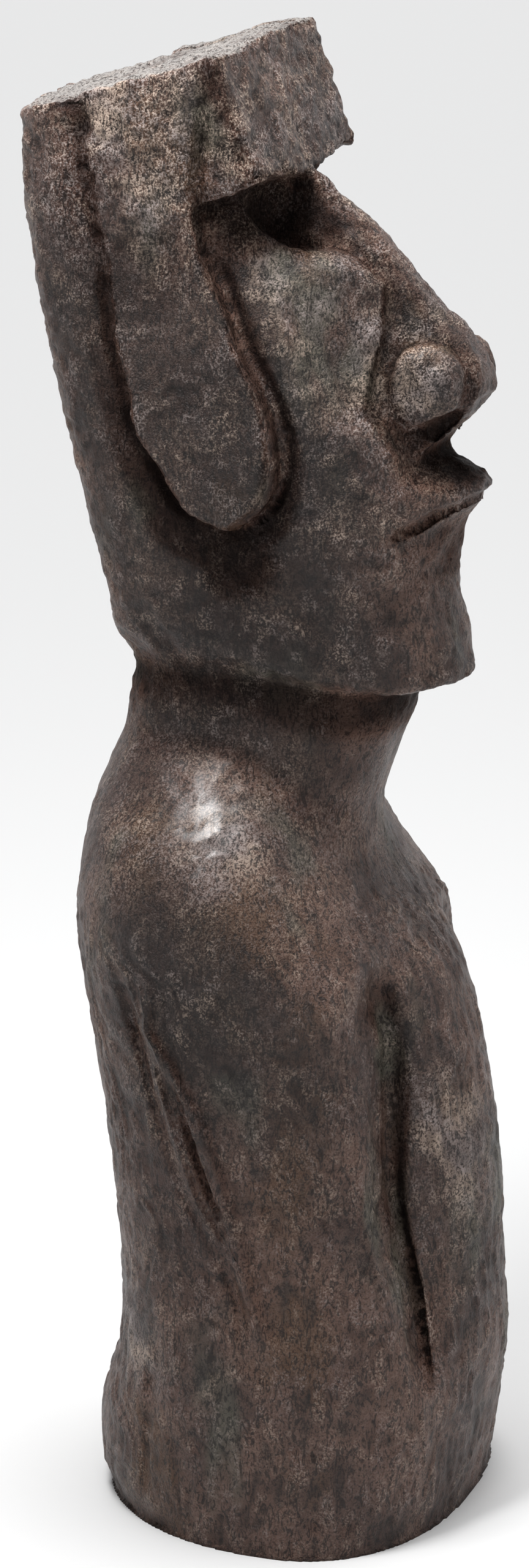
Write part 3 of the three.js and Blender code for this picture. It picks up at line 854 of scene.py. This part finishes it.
# ---- Floor, lights and camera ----
MIDDLE = (CAD_LOW + CAD_HIGH) / 2
FLOOR_HALF_SIZE, FLOOR_GREY = 30.0, 0.72
CAMERA_AZIMUTH, CAMERA_ELEVATION, CAMERA_DISTANCE = -71.0, 16.0, 2.1
CAMERA_TARGET = Vector((0, 0, 0.295))
CAMERA_OFFSET_ACROSS, CAMERA_OFFSET_UP = -0.0126, -0.0027  # how far off the target the lens points
LENS, SENSOR = 121.8, 36.0
STUDIO_TINT = (0.98, 0.985, 1.0, 1)
HORIZON_LIGHT, UPPER_LIGHT = 0.95, 0.32
DARK_SIDE_AZIMUTH, DARK_SIDE_LIGHT = -109.0, 0.15  # where the studio is dark, and the share of light left


def make_floor():
    mesh = bpy.data.meshes.new("floor")
    edge = FLOOR_HALF_SIZE
    corners = [(-edge, -edge, 0), (edge, -edge, 0), (edge, edge, 0), (-edge, edge, 0)]
    mesh.from_pydata(corners, [], [(0, 1, 2, 3)])
    mesh.materials.append(floor_material())
    floor = bpy.data.objects.new("floor", mesh)
    bpy.context.scene.collection.objects.link(floor)


def aim(obj, target):
    direction = Vector(target) - obj.location
    obj.rotation_euler = direction.to_track_quat("-Z", "Y").to_euler()


def around(azimuth, elevation, distance, centre):
    """A point at this distance from centre. Azimuth 0 is in front of the face."""
    a, e = math.radians(azimuth), math.radians(elevation)
    back = Vector((math.sin(a) * math.cos(e), -math.cos(a) * math.cos(e), math.sin(e)))
    return Vector(centre) + distance * back


def add_softbox(name, azimuth, elevation, distance, size, watts):
    data = bpy.data.lights.new(name, "AREA")
    data.shape = "RECTANGLE"
    data.size, data.size_y = size
    data.energy = watts
    light = bpy.data.objects.new(name, data)
    bpy.context.scene.collection.objects.link(light)
    light.location = around(azimuth, elevation, distance, MIDDLE)
    aim(light, MIDDLE)


def add_sky(name, azimuth, elevation, spread, strength):
    """Even light from a wide patch of ceiling, spread degrees across."""
    data = bpy.data.lights.new(name, "SUN")
    data.angle = math.radians(spread)
    data.energy = strength
    light = bpy.data.objects.new(name, data)
    bpy.context.scene.collection.objects.link(light)
    light.location = around(azimuth, elevation, 3.0, MIDDLE)
    aim(light, MIDDLE)


def light_studio():
    world = bpy.data.worlds.new("studio")
    bpy.context.scene.world = world
    world.use_nodes = True
    background = world.node_tree.nodes["Background"]
    n = Nodes(world.node_tree)
    direction = n.add("ShaderNodeTexCoord").outputs["Generated"]
    height = n.add("ShaderNodeSeparateXYZ", Vector=direction).outputs["Z"]
    background.inputs["Color"].default_value = STUDIO_TINT
    toward = n.add("ShaderNodeVectorMath")
    toward.operation = "DOT_PRODUCT"
    n.put(direction, toward.inputs[0])
    n.put(around(DARK_SIDE_AZIMUTH, CAMERA_ELEVATION, 1.0, (0, 0, 0)), toward.inputs[1])
    dark_side = n.between(toward.outputs["Value"], -0.1, 0.7, 1.0, DARK_SIDE_LIGHT)
    by_height = n.between(height, 0.05, 0.5, HORIZON_LIGHT, UPPER_LIGHT)
    n.put(n.math("MULTIPLY", by_height, dark_side), background.inputs["Strength"])
    add_sky("ceiling", azimuth=60, elevation=84, spread=40, strength=2.8)
    add_softbox("overhead", azimuth=-118, elevation=69, distance=0.85, size=(0.24, 0.24), watts=8)


def make_camera():
    data = bpy.data.cameras.new("camera")
    data.lens = LENS
    data.sensor_width = SENSOR
    camera = bpy.data.objects.new("camera", data)
    bpy.context.scene.collection.objects.link(camera)
    camera.location = around(CAMERA_AZIMUTH, CAMERA_ELEVATION, CAMERA_DISTANCE, CAMERA_TARGET)
    ahead = (CAMERA_TARGET - camera.location).normalized()
    across = ahead.cross(Vector((0, 0, 1))).normalized()
    up = across.cross(ahead)
    aim(camera, CAMERA_TARGET + CAMERA_OFFSET_ACROSS * across + CAMERA_OFFSET_UP * up)
    bpy.context.scene.camera = camera


make_camera()
make_statue()
make_floor()
light_studio()
bpy.context.scene.view_settings.view_transform = "Standard"
